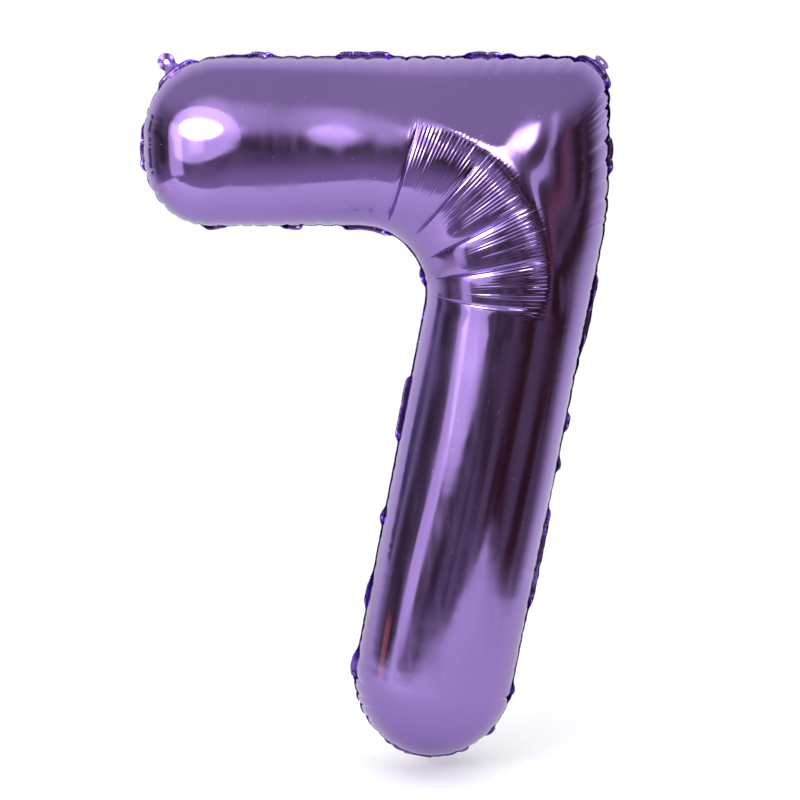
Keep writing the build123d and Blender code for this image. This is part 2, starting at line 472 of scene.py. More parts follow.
    def folds(self):
        """Heights of the elbow's creases, pleats and lip above the smooth shape."""
        x = self.base[:, :, 0] - self.pivot[0]
        z = self.base[:, :, 2] - self.pivot[1]
        place = (np.hypot(x, z), np.degrees(np.arctan2(x, z)))
        return self.creases(*place) + self.pleats(*place) + self.lip(*place)

    def creases(self, reach, angle):
        """Heights of the pillows, and of the creases cut between them."""
        bounds = np.concatenate([self.PILLOW_ENDS[:1], self.CREASES, self.PILLOW_ENDS[1:]])
        power = np.concatenate([[0.0], self.CREASE_STRENGTH, [0.0]])
        cell = np.clip(np.searchsorted(bounds, angle) - 1, 0, len(bounds) - 2)
        share = np.clip((angle - bounds[cell]) / (bounds[cell + 1] - bounds[cell]), 0, 1)
        strength = power[cell] * (1 - share) + power[cell + 1] * share
        zone = smooth(*self.PILLOW_RISE, reach) * (1 - smooth(*self.PILLOW_FALL, reach))
        pillow = self.wrinkles.pillow * strength * np.sin(pi * share) ** 0.4
        height = pillow * zone
        for crease, deep in zip(self.CREASES, self.CREASE_STRENGTH):
            gap = reach * np.radians(angle - crease)
            cut = np.exp(-((gap / self.CUT_WIDTH) ** 2))
            cut += self.DIP_SHARE * np.exp(-((gap / self.DIP_WIDTH) ** 2))
            height -= self.wrinkles.fold_depth * deep * cut * zone
        return height

    def pleats(self, reach, angle):
        """Heights of the fine pleats, each of its own size and length."""
        rng = np.random.default_rng(self.wrinkles.seed + 5)
        pleat = angle / self.PLEAT_ANGLE
        slot = np.clip(np.floor(pleat).astype(int), 0, self.PLEAT_SLOTS - 1)
        inner = rng.uniform(*self.PLEAT_INNER, self.PLEAT_SLOTS)[slot]
        size = rng.uniform(*self.PLEAT_SIZES, self.PLEAT_SLOTS)[slot]
        outer = rng.uniform(*self.PLEAT_OUTER, self.PLEAT_SLOTS)[slot]
        band = smooth(inner - self.PLEAT_INNER_FADE, inner + self.PLEAT_INNER_FADE, reach)
        band *= 1 - smooth(outer - self.PLEAT_OUTER_FADE, outer + self.PLEAT_OUTER_FADE, reach)
        band *= smooth(*self.PLEAT_RISE, angle) * (1 - smooth(*self.PLEAT_FALL, angle))
        ridge = np.abs(np.sin(pi * pleat)) ** 0.8
        rim = 1 + self.RIM_GROWTH * smooth(*self.RIM, reach)
        return self.wrinkles.pleat * size * band * rim * (ridge - 0.5)

    def lip(self, reach, angle):
        """Height of the lip where the film rises again past the pleats."""
        near, far = self.LIP_SLOPES
        past = (reach - self.LIP_REACH) / np.where(reach < self.LIP_REACH, near, far)
        ends = smooth(*self.LIP_RISE, angle) * (1 - smooth(*self.LIP_FALL, angle))
        return self.wrinkles.lip * (np.exp(-(past**2)) * ends)

    def puckers(self, seed):
        """Heights of the lobes and crimps that run in from the seam."""
        distance = self.distance
        height = np.zeros_like(distance)
        short = np.sin(2 * pi * self.along / self.PATCH_SHORT + seed)
        patch = 0.5 + 0.5 * short * np.sin(2 * pi * self.along / self.PATCH_LONG)
        fine = self.level * (0.25 + 1.5 * patch**2)
        for spacing, size, reach, shift, level in (
            (self.LOBE, 1.0, 0.026, 1, self.level),
            (0.0085, 0.85, 0.032, 2 + seed, fine),
            (0.0046, 0.42, 0.026, 3 + seed, fine),
        ):
            closeness, power, far = self.pinches(spacing, shift)
            run = np.exp(-((distance / (reach * far[:, None])) ** 1.6))
            rise = smooth(0, 0.004, distance)
            depth = self.wrinkles.pucker * size * closeness * power * level
            height -= depth[:, None] * run * rise
        return height

    def swell(self, seed):
        """Long shallow unevenness of a hand-inflated film."""
        rng = np.random.default_rng(self.wrinkles.seed + 20 + seed)
        height = np.zeros_like(self.distance)
        for span in self.SWELLS:
            turn = rng.uniform(0, pi)
            phase = rng.uniform(0, 2 * pi)
            run = self.base[:, :, 0] * cos(turn) + self.base[:, :, 2] * sin(turn)
            height += self.SWELL_SLOPE * span * np.sin(2 * pi * run / span + phase)
        return height * smooth(0.0, 0.06, self.distance)

    def points(self, side, seed):
        """Outer and inner faces of a film; side is 1 for the front and -1 for the back."""
        fade = np.exp(-((self.distance / 0.034) ** 1.4))[:, :, None]
        shift = np.zeros_like(self.base)
        shift[:, :, 0] = -self.drawn_in[:, None] * self.out[:, None, 0]
        shift[:, :, 2] = -self.drawn_in[:, None] * self.out[:, None, 1]
        shift[:, :, 1] = side * self.wave[:, None]
        shift *= fade
        folds = self.folds()
        rise = (folds + self.puckers(seed) + self.swell(seed))[:, :, None]
        rise[:, :2] = 0
        outer = self.base + self.normal * rise + shift
        drop = self.sizes.film + self.wrinkles.fold_depth * smooth(0.02, 0.06, self.distance)
        inner = outer - self.normal * (drop[:, :, None] + np.minimum(rise, 0) * -1)
        limit = side * self.wave[:, None] * fade[:, :, 0] - self.sizes.film / 2
        inner[:, :, 1] = np.minimum(inner[:, :, 1], limit)
        inner[:, :2, 1] = limit[:, :2]
        return outer * (1, side, 1), inner * (1, side, 1)

    def seam_line(self):
        """The seam's own line, as X, Z and the distance out of its plane."""
        line = self.start - self.out * self.drawn_in[:, None]
        return np.column_stack([line, self.wave])


# ---------------------------------------------------------------- mesh helpers


def add_object(name, mesh):
    """A new object at the origin, in the scene."""
    piece = bpy.data.objects.new(name, mesh)
    bpy.context.scene.collection.objects.link(piece)
    return piece


def mesh_from_faces(name, points, faces, values):
    """A smooth-shaded mesh with named values on its points, and its doubles merged."""
    mesh = bpy.data.meshes.new(name)
    mesh.from_pydata([tuple(point) for point in points], [], faces)
    for key, numbers in values.items():
        mesh.attributes.new(key, "FLOAT", "POINT").data.foreach_set("value", np.ravel(numbers))
    work = bmesh.new()
    work.from_mesh(mesh)
    bmesh.ops.remove_doubles(work, verts=work.verts, dist=1e-6)
    work.to_mesh(mesh)
    work.free()
    mesh.polygons.foreach_set("use_smooth", [True] * len(mesh.polygons))
    mesh.update()
    return mesh


def shell_faces(lines, rows):
    """Faces of a closed shell: a fine outer wall, a coarser inner wall and the rim between."""
    outer = np.arange(lines * rows).reshape(lines, rows)
    beside = np.roll(outer, -1, axis=0)
    faces = np.stack(
        [outer[:, :-1], outer[:, 1:], beside[:, 1:], beside[:, :-1]], axis=-1
    ).reshape(-1, 4).tolist()
    kept = [0, *range(1, rows, 2)]
    inner = lines * rows + np.arange(lines // 2 * len(kept)).reshape(lines // 2, len(kept))
    next_inner = np.roll(inner, -1, axis=0)
    faces += np.stack(
        [inner[:, :-1], next_inner[:, :-1], next_inner[:, 1:], inner[:, 1:]], axis=-1
    ).reshape(-1, 4).tolist()
    for index in range(lines // 2):
        first = outer[2 * index, 0]
        middle = outer[2 * index + 1, 0]
        last = outer[(2 * index + 2) % lines, 0]
        under, under_next = inner[index, 0], next_inner[index, 0]
        faces += [(first, middle, under), (middle, under_next, under), (middle, last, under_next)]
    return faces, kept


def slab_faces(rows, columns, closed):
    """Faces of a thin slab from a grid of front points, then the same grid of back points."""
    front = np.arange(rows * columns).reshape(rows, columns)
    back = front + rows * columns
    if closed:
        front = np.column_stack([front, front[:, 0]])
        back = np.column_stack([back, back[:, 0]])

    def strip(a, b):
        return np.stack([a[:-1], a[1:], b[1:], b[:-1]], axis=-1).reshape(-1, 4).tolist()

    faces = []
    for row in range(rows - 1):
        faces += strip(front[row], front[row + 1])
        faces += strip(back[row + 1], back[row])
    faces += strip(back[0], front[0])
    faces += strip(front[-1], back[-1])
    if not closed:
        faces += strip(front[:, 0], back[:, 0])
        faces += strip(back[:, -1], front[:, -1])
    return faces


class Hinge:
    """A film hinge: where it lies, and a bend that a flat piece makes about it."""

    ARC = 0.0016  # length of film that takes the bend, each side of the hinge line

    def __init__(self, name, bend=0):
        joint = JOINTS[name]
        self.joint = joint
        self.origin = Vector(joint["pos_m"])
        self.along = Vector(joint["axis"]).normalized()
        self.front = Vector((0, -1, 0))
        self.out = self.along.cross(self.front).normalized()
        self.bend = radians(bend)

    def place(self, plan, height):
        """Points at plan distances (out, along) and heights, bent about the hinge line."""
        run = np.linspace(-0.01, 0.2, 2101)
        angle = self.bend * smooth(-self.ARC, self.ARC, run)
        step = run[1] - run[0]
        out = np.cumsum(np.cos(angle)) * step
        back = np.cumsum(np.sin(angle)) * step
        zero = np.interp(-self.ARC, run, out) + self.ARC
        out -= zero
        turn = np.interp(plan[..., 0], run, angle)
        x = np.interp(plan[..., 0], run, out) + height * np.sin(turn)
        z = -np.interp(plan[..., 0], run, back) + height * np.cos(turn)
        y = plan[..., 1]
        return (
            np.array(self.origin)
            + x[..., None] * np.array(self.out)
            + y[..., None] * np.array(self.along)
            + z[..., None] * np.array(self.front)
        )

    def blend(self, piece):
        """Applies a piece's transform to its mesh."""
        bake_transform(piece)


# ---------------------------------------------------------------- materials


MIX_COLOURS = (6, 7)  # places of a mix node's two colours among its inputs
MIX_RESULT = 2  # and of its colour among its outputs


def feed(tree, socket, value):
    """Links an output to a socket, or sets the socket's value."""
    if isinstance(value, bpy.types.NodeSocket):
        tree.links.new(value, socket)
    else:
        socket.default_value = value


def node(tree, kind, *values, **named):
    """A new node.  Values go to its inputs in turn; named ones to a setting or an input."""
    made = tree.nodes.new(kind)
    inputs = dict(enumerate(values))
    for name, value in named.items():
        if hasattr(made, name):
            setattr(made, name, value)
        else:
            inputs[name.replace("_", " ").title()] = value
    for key, value in inputs.items():
        feed(tree, made.inputs[key], value)
    return made


def mixed(tree, share, *colours):
    """A colour between two others."""
    made = node(tree, "ShaderNodeMix", share, data_type="RGBA")
    for place, colour in zip(MIX_COLOURS, colours):
        feed(tree, made.inputs[place], colour)
    return made.outputs[MIX_RESULT]


class Finish:
    """A node material under construction."""

    def __init__(self, name):
        self.material = bpy.data.materials.new(name)
        self.material.use_nodes = True
        self.tree = self.material.node_tree
        self.shader = self.tree.nodes["Principled BSDF"].inputs
        self.place = node(self.tree, "ShaderNodeTexCoord").outputs["Object"]

    def set(self, **values):
        """Sets or links the shader's own inputs by name."""
        for name, value in values.items():
            feed(self.tree, self.shader[name.replace("_", " ").title()], value)

    def noise(self, scale, detail=2, stretch=(1, 1, 1)):
        """Noise on the piece's own position, from 0 to 1."""
        mapping = node(self.tree, "ShaderNodeMapping", vector=self.place, scale=stretch)
        place = mapping.outputs[0]
        texture = node(self.tree, "ShaderNodeTexNoise", vector=place, scale=scale, detail=detail)
        return texture.outputs["Fac"]

    def spread(self, value, low, high, start=0.3, end=0.7):
        """A value from start to end, spread from low to high."""
        return node(self.tree, "ShaderNodeMapRange", value, start, end, low, high).outputs[0]

    def mix(self, share, first, second):
        """A colour between two others."""
        return mixed(self.tree, share, first, second)

    def bumps(self, *layers):
        """Bump from heights given as (value, depth in metres), the broadest first."""
        normal = None
        for value, depth in layers:
            bump = node(self.tree, "ShaderNodeBump", strength=1, distance=depth)
            feed(self.tree, bump.inputs["Height"], value)
            if normal is not None:
                feed(self.tree, bump.inputs["Normal"], normal)
            normal = bump.outputs[0]
        self.set(normal=normal)

    def dust(self, scale, size):
        """Sparse specks: 1 on a speck and 0 elsewhere."""
        cells = node(self.tree, "ShaderNodeTexVoronoi", vector=self.place, scale=scale)
        return self.spread(cells.outputs["Distance"], 1, 0, size * 0.6, size)


DUST = (0.82, 0.80, 0.86)


def rgba(colour, level=1.0):
    """A colour at a level of brightness, with full alpha."""
    return (*(channel * level for channel in colour), 1)


def foil_material(name, colour, deep, haze, specks):
    """Metallised film: mirror bright, with rolling lines, faint haze, scuffs and dust."""
    finish = Finish(name)
    cloud = finish.noise(5, 3)
    tint = finish.mix(finish.spread(cloud, 0, 1), rgba(colour, 0.93), rgba(colour, 1.05))
    weld = node(finish.tree, "ShaderNodeAttribute", attribute_name="weld").outputs["Fac"]
    tint = finish.mix(weld, tint, rgba(deep))
    speck = finish.dust(95, 0.045)
    scuff = finish.noise(60, 4, (1, 1, 0.12))
    smear = finish.noise(9, 4)
    rough = finish.spread(scuff, haze * 0.75, haze * 1.5, 0.45, 0.75)
    wipe = finish.spread(smear, 0, haze * 0.8, 0.45, 0.7)
    total = node(finish.tree, "ShaderNodeMath", rough, wipe, operation="ADD").outputs[0]
    speckled = node(finish.tree, "ShaderNodeMath", speck, specks, total, operation="MULTIPLY_ADD")
    finish.set(
        base_color=finish.mix(speck, tint, rgba(DUST)), metallic=1, roughness=speckled.outputs[0]
    )
    rolling = finish.noise(22, 2, (0.25, 0.25, 1))
    grain = finish.noise(420, 2)
    finish.bumps((rolling, 0.00018), (grain, 0.000004))
    return finish.material


def band_material(name, colour, deep, crumple):
    """Doubled film pressed flat: darker, and crumpled to a depth in metres."""
    finish = Finish(name)
    cloud = finish.noise(30, 3)
    tint = finish.mix(finish.spread(cloud, 0, 1), rgba(deep, 0.8), rgba(colour, 0.75))
    rough = finish.spread(finish.noise(150, 3), 0.10, 0.26)
    finish.set(base_color=tint, metallic=1, roughness=rough)
    finish.bumps((finish.noise(110, 2), crumple), (finish.noise(500, 2), crumple / 12))
    return finish.material


def valve_material(name, colour):
    """Clear milky film with soft draw lines."""
    finish = Finish(name)
    cloud = finish.noise(40, 3)
    tint = finish.mix(finish.spread(cloud, 0, 1), rgba(colour, 0.9), rgba(colour))
    rough = finish.spread(finish.noise(200, 3), 0.22, 0.4)
    finish.set(base_color=tint, roughness=rough, transmission_weight=0.45)
    finish.shader["IOR"].default_value = 1.5
    finish.bumps((finish.noise(90, 2, (1, 1, 0.1)), 0.0003))
    return finish.material


# ---------------------------------------------------------------- the welded band, by rule


BAND_INPUTS = (
    ("Geometry", "Geometry"), ("Width", "Float"), ("Tuck", "Float"), ("Thickness", "Float"),
    ("Scallop", "Float"), ("Fold Back", "Float"), ("Seed", "Float"), ("Material", "Material"),
)


def band_tree():
    """Geometry nodes that sweep a flat band along a closed line and scallop its free edge.

    The line lies in X, Y and the result is stood up into X, Z.
    """
    tree = bpy.data.node_groups.new("Welded band", "GeometryNodeTree")
    tree.interface.new_socket("Geometry", in_out="OUTPUT", socket_type="NodeSocketGeometry")
    for name, kind in BAND_INPUTS:
        tree.interface.new_socket(name, in_out="INPUT", socket_type="NodeSocket" + kind)
    given = tree.nodes.new("NodeGroupInput").outputs
    tilt = band_tilt(tree, given)
    profile = band_profile(tree, given)
    curve = node(tree, "GeometryNodeMeshToCurve", given["Geometry"]).outputs[0]
    upright = node(tree, "GeometryNodeSetCurveNormal", curve, mode="Z_UP").outputs[0]
    leaned = node(tree, "GeometryNodeSetCurveTilt", upright, tilt=tilt).outputs[0]
    swept = node(tree, "GeometryNodeCurveToMesh", leaned, profile).outputs[0]
    offset = band_scallop(tree, given)
    ruffled = node(tree, "GeometryNodeSetPosition", swept, offset=offset).outputs[0]
    stood = node(tree, "GeometryNodeTransform", ruffled, rotation=(pi / 2, 0, 0)).outputs[0]
    real = node(tree, "GeometryNodeRealizeInstances", stood).outputs[0]
    painted = node(tree, "GeometryNodeSetMaterial", real, material=given["Material"]).outputs[0]
    node(tree, "NodeGroupOutput", painted)
    return tree


def band_tilt(tree, given):
    """How far the band is folded back along the seam: in patches, and not beside a tab."""
    patch = node(
        tree, "ShaderNodeTexNoise", noise_dimensions="4D", scale=15, detail=1, w=given["Seed"]
    )
    loose = node(tree, "GeometryNodeInputNamedAttribute", "loose", data_type="FLOAT")
    free = node(
        tree, "ShaderNodeMath", loose.outputs["Attribute"], given["Fold Back"], operation="MULTIPLY"
    )
    lean = node(
        tree, "ShaderNodeMapRange", patch.outputs[0], 0.40, 0.50, 0, free.outputs[0],
        interpolation_type="SMOOTHSTEP",
    )
    return lean.outputs[0]


def band_profile(tree, given):
    """The band's flat cross-section, from its tuck inside the seam to its free edge."""
    full = node(tree, "ShaderNodeMath", given["Width"], given["Tuck"], operation="ADD")
    profile = node(tree, "GeometryNodeCurvePrimitiveQuadrilateral", mode="RECTANGLE")
    feed(tree, profile.inputs["Width"], full.outputs[0])
    feed(tree, profile.inputs["Height"], given["Thickness"])
    centre = node(tree, "ShaderNodeMath", given["Width"], given["Tuck"], operation="SUBTRACT")
    half = node(tree, "ShaderNodeMath", centre.outputs[0], -0.5, operation="MULTIPLY")
    side = node(tree, "ShaderNodeCombineXYZ", half.outputs[0])
    finer = node(tree, "GeometryNodeSubdivideCurve", profile.outputs[0], 2)
    moved = node(tree, "GeometryNodeTransform", finer.outputs[0], translation=side.outputs[0])
    return moved.outputs[0]


def band_scallop(tree, given):
    """A ruffle that moves each point of the band a little."""
    ruffle = node(
        tree, "ShaderNodeTexNoise", noise_dimensions="4D", scale=60, detail=2, w=given["Seed"]
    )
    middle = (0.5, 0.5, 0.5)
    centred = node(
        tree, "ShaderNodeVectorMath", ruffle.outputs["Color"], middle, operation="SUBTRACT"
    )
    sized = node(
        tree, "ShaderNodeVectorMath", centred.outputs[0], operation="SCALE", scale=given["Scallop"]
    )
    return sized.outputs[0]


def grown(name, mesh, tree, values):
    """The plain mesh that a node tree makes from a mesh, as a new object."""
    seedling = add_object(name + "_line", mesh)
    modifier = seedling.modifiers.new("Rule", "NODES")
    modifier.node_group = tree
    sockets = {item.name: item.identifier for item in tree.interface.items_tree}
    for key, value in values.items():
        modifier[sockets[key]] = value
    bpy.context.view_layer.update()
    made = bpy.data.meshes.new_from_object(
        seedling.evaluated_get(bpy.context.evaluated_depsgraph_get())
    )
    bpy.data.objects.remove(seedling)
    made.name = name
    return add_object(name, made)


# ---------------------------------------------------------------- operators


class PieceOperator:
    """What the piece operators share."""

    bl_options = {"REGISTER", "UNDO"}

    def settings(self, context):
        scene = context.scene
        return scene.balloon_sizes, scene.balloon_wrinkles, scene.balloon_colours


def finished(name, points, faces, material, slot, **values):
    """A plain piece with one material, and named values on its points."""
    piece = add_object(name, mesh_from_faces(name, points, faces, values))
    piece.data.materials.append(material)
    return piece


def slab_points(hinge, plan, top, low):
    """Points of a thin slab's front and back, at two heights above its hinge's plane."""
    return np.concatenate([hinge.place(plan, height).reshape(-1, 3) for height in (top, low)])


class BALLOON_OT_films(PieceOperator, bpy.types.Operator):
    """Build the front and back films"""

    bl_idname = "balloon.films"
    bl_label = "Front and back films"

    def execute(self, context):
        sizes, wrinkles, colours = self.settings(context)
        film = Film(Outline(sizes), sizes, wrinkles)
        foil = foil_material("Purple foil", colours.foil, colours.foil_deep, 0.125, 0.30)
        lines = len(film.along)
        faces, kept = shell_faces(lines, film.ROWS + 2)
        for name, node_name, side, seed in (
            ("front_film", "front_foil", 1, 0), ("back_film", "back_foil", -1, 40)
        ):
            outer, inner = film.points(side, seed)
            inner = inner[::2][:, kept]
            points = np.concatenate([outer.reshape(-1, 3), inner.reshape(-1, 3)])
            turned = faces if side == 1 else [face[::-1] for face in faces]
            outer_weld = np.zeros(outer.shape[:2])
            outer_weld[:, :2] = 1
            weld = np.concatenate([outer_weld.ravel(), np.zeros(inner[:, :, 0].size)])
            piece = finished(name, points, turned, foil, "foil", weld=weld)
            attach(piece, "envelope")
            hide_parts(node_name)
        return {"FINISHED"}


class BALLOON_OT_band(PieceOperator, bpy.types.Operator):
    """Build the welded band round the seam"""

    bl_idname = "balloon.band"
    bl_label = "Welded band"

    def execute(self, context):
        sizes, wrinkles, colours = self.settings(context)
        film = Film(Outline(sizes), sizes, wrinkles)
        line = film.seam_line()
        count = len(line)
        mesh = bpy.data.meshes.new("seam_line")
        mesh.from_pydata(
            [(x, z, -wave) for x, z, wave in line],
            [(index, (index + 1) % count) for index in range(count)],
            [],
        )
        mesh.attributes.new("loose", "FLOAT", "POINT").data.foreach_set("value", film.loose)
        band = band_material("Welded foil", colours.foil, colours.foil_deep, 0.0006)
        piece = grown(
            "seam_band",
            mesh,
            band_tree(),
            {
                "Width": sizes.seam,
                "Tuck": 0.002,
                "Thickness": 0.0010,
                "Scallop": 0.0022,
                "Fold Back": radians(84),
                "Seed": float(wrinkles.seed),
                "Material": band,
            },
        )
        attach(piece, "envelope")
        return {"FINISHED"}


class TabPlan:
    """Plan of a hang tab: a round head with a hole, and a root that flares to the seam."""

    REACH = 0.0104  # from the fold to the hole's centre
    HOLE = 0.0033
    HEAD = 0.0102
    HEAD_END = radians(112)  # where the head runs over into the flare
    ROOT_HALF = 0.012
    TUCK = 0.0022  # how far the root runs under the band
    HANDLE = 0.0052  # reach of the flare's curve handles
    LEAVES = np.array([-0.45, 0.89])  # direction in which the flare comes in to the root
    LOOPS = (0, 0.06, 0.2, 0.4, 0.6, 0.8, 0.93, 1)  # from the hole to the edge, as shares

    def edge(self):
        """The outer edge, anticlockwise from one root corner to the other and back."""
        turn = np.linspace(-self.HEAD_END, self.HEAD_END, 48)
        head = np.column_stack([self.REACH + self.HEAD * np.cos(turn), self.HEAD * np.sin(turn)])
        joins = np.array([-sin(self.HEAD_END), cos(self.HEAD_END)])
        root = np.array([-self.TUCK, self.ROOT_HALF])
        share = np.linspace(0, 1, 18)[1:, None]
        handles = (head[-1], head[-1] + joins * self.HANDLE, root - self.LEAVES * self.HANDLE, root)
        flare = sum(
            weight * (1 - share) ** (3 - power) * share**power * handle
            for power, (weight, handle) in enumerate(zip((1, 3, 3, 1), handles))
        )
        across = np.linspace(1, -1, 22)[1:-1, None]
        under = np.hstack([np.full_like(across, -self.TUCK), across * self.ROOT_HALF])
        return np.concatenate([head, flare, under, (flare * (1, -1))[::-1]])

    def loops(self):
        """Closed loops of points from the hole out to the edge."""
        edge = self.edge()
        turn = np.arctan2(edge[:, 1], edge[:, 0] - self.REACH)
        hole = np.column_stack([self.REACH + self.HOLE * np.cos(turn), self.HOLE * np.sin(turn)])
        shares = np.array(self.LOOPS)[:, None, None]
        return hole[None] * (1 - shares) + edge[None] * shares


class BALLOON_OT_tabs(PieceOperator, bpy.types.Operator):
    """Build the two hang tabs"""

    bl_idname = "balloon.tabs"
    bl_label = "Hang tabs"

    PLY = 0.0004  # half the doubled film's thickness
    RISE = 0.0003  # of the pressed rim round the hole
    RIM = (0.3, 1.0, 0.35, 0.1, 0.2, 0.1, 0.35, 0.1)  # share of the rise on each loop
    RIPPLE = 0.00035

    def execute(self, context):
        sizes, wrinkles, colours = self.settings(context)
        foil = band_material("Tab foil", colours.foil, colours.foil_deep, 0.00012)
        plan = TabPlan().loops()
        rows, columns = plan.shape[:2]
        rise = np.array(self.RIM)[:, None] * self.RISE
        ripple = self.RIPPLE * np.sin(plan[..., 0] * 420 + 1.3) * np.cos(plan[..., 1] * 300)
        faces = slab_faces(rows, columns, True)
        for name, joint, bend in (
            ("hang_tab_left", "left_tab_fold", 0), ("hang_tab_right", "right_tab_fold", 65)
        ):
            hinge = Hinge(joint, bend)
            free = smooth(-0.001, 0.006, plan[..., 0])
            top = self.PLY + (rise + ripple) * free
            low = -self.PLY + (ripple - rise) * free
            points = slab_points(hinge, plan, top, low)
            piece = finished(name + "_film", points, faces, foil, "tab_foil")
            hinge.blend(piece)
            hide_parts(name)
        return {"FINISHED"}


class BALLOON_OT_neck(PieceOperator, bpy.types.Operator):
    """Build the fill neck's two films"""

    bl_idname = "balloon.neck"
    bl_label = "Fill neck"

    LENGTH = 0.046
    ROOT = 0.034
    MOUTH = 0.029
    TUCK = 0.0025  # how far the neck runs in past its hinge line
    THICK = 0.0005
    PLY_GAP = 0.00004  # from the seam plane to each film where the neck is closed
    OPEN_GAP = 0.0009  # and at the middle of its channel
    CHANNEL = 0.62  # the channel's share of the width
    CREASE = 0.0007
    WAVE = 0.0011

    def execute(self, context):
        sizes, wrinkles, colours = self.settings(context)
        foil = foil_material("Neck foil", colours.foil, colours.foil_deep, 0.09, 0.3)
        hinge = Hinge("neck_fold", 100)
        run = np.linspace(-self.TUCK, self.LENGTH, 60)
        side = np.linspace(-1, 1, 40)
        half = (self.ROOT + (self.MOUTH - self.ROOT) * np.clip(run / self.LENGTH, 0, 1)) / 2
        plan = np.stack(np.broadcast_arrays(run[:, None], side[None] * half[:, None]), axis=-1)
        free = smooth(0.002, 0.016, plan[..., 0])
        open_gap = self.OPEN_GAP * np.clip(1 - (side / self.CHANNEL) ** 2, 0, 1)[None] * free
        creases = self.CREASE * np.abs(np.sin(plan[..., 0] * 330 + plan[..., 1] * 90)) ** 0.6
        waves = self.WAVE * np.sin(plan[..., 1] * 260 + plan[..., 0] * 70 + 0.8) * free
        faces = slab_faces(*plan.shape[:2], False)
        for name, sign in (("neck_front_film", 1), ("neck_back_film", -1)):
            near = sign * (self.PLY_GAP + open_gap) + waves + creases * free * 0.6
            far = near + sign * self.THICK
            top, low = (far, near) if sign > 0 else (near, far)
            points = slab_points(hinge, plan, top, low)
            piece = finished(name + "_foil", points, faces, foil, "neck_foil")
            hinge.blend(piece)
            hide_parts(name)
        return {"FINISHED"}


class BALLOON_OT_valve(PieceOperator, bpy.types.Operator):
    """Build the two strips of the self-sealing valve"""

    bl_idname = "balloon.valve"
    bl_label = "Valve strips"

    LENGTH = 0.118
    START = 0.0005  # from the hinge line
    WIDTH = 0.030
    TAPER = 0.003  # how much narrower each side is at the tip
    TIP = 0.005  # radius of the tip's corners
    GAP = 0.0003  # from the seam plane to each strip
    THICK = 0.0001
    SWELL = 0.00012

    def execute(self, context):
        sizes, wrinkles, colours = self.settings(context)
        clear = valve_material("Clear valve film", colours.valve)
        run = np.linspace(self.START, self.LENGTH, 80)
        side = np.linspace(-1, 1, 24)
        half = self.WIDTH / 2 - self.TAPER * run / self.LENGTH
        inset = np.clip(run - (self.LENGTH - self.TIP), 0, self.TIP)
        half = half - (self.TIP - np.sqrt(self.TIP**2 - inset**2))
        plan = np.stack(np.broadcast_arrays(run[:, None], side[None] * half[:, None]), axis=-1)
        faces = slab_faces(*plan.shape[:2], False)
        for name, joint, body, sign in (
            ("valve_front_strip", "valve_front_lip", "valve_front", 1),
            ("valve_back_strip", "valve_back_lip", "valve_back", -1),
        ):
            hinge = Hinge(joint)
            swell = self.SWELL * np.sin(plan[..., 0] * 95) * np.cos(plan[..., 1] * 160)
            near = sign * self.GAP + swell
            far = near + sign * self.THICK
            top, low = (far, near) if sign > 0 else (near, far)
            points = slab_points(hinge, plan, top, low)
            piece = finished(name + "_film", points, faces, clear, "valve_film")
            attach(piece, body)
            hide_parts(name)
        return {"FINISHED"}


# ---------------------------------------------------------------- light, floor and camera


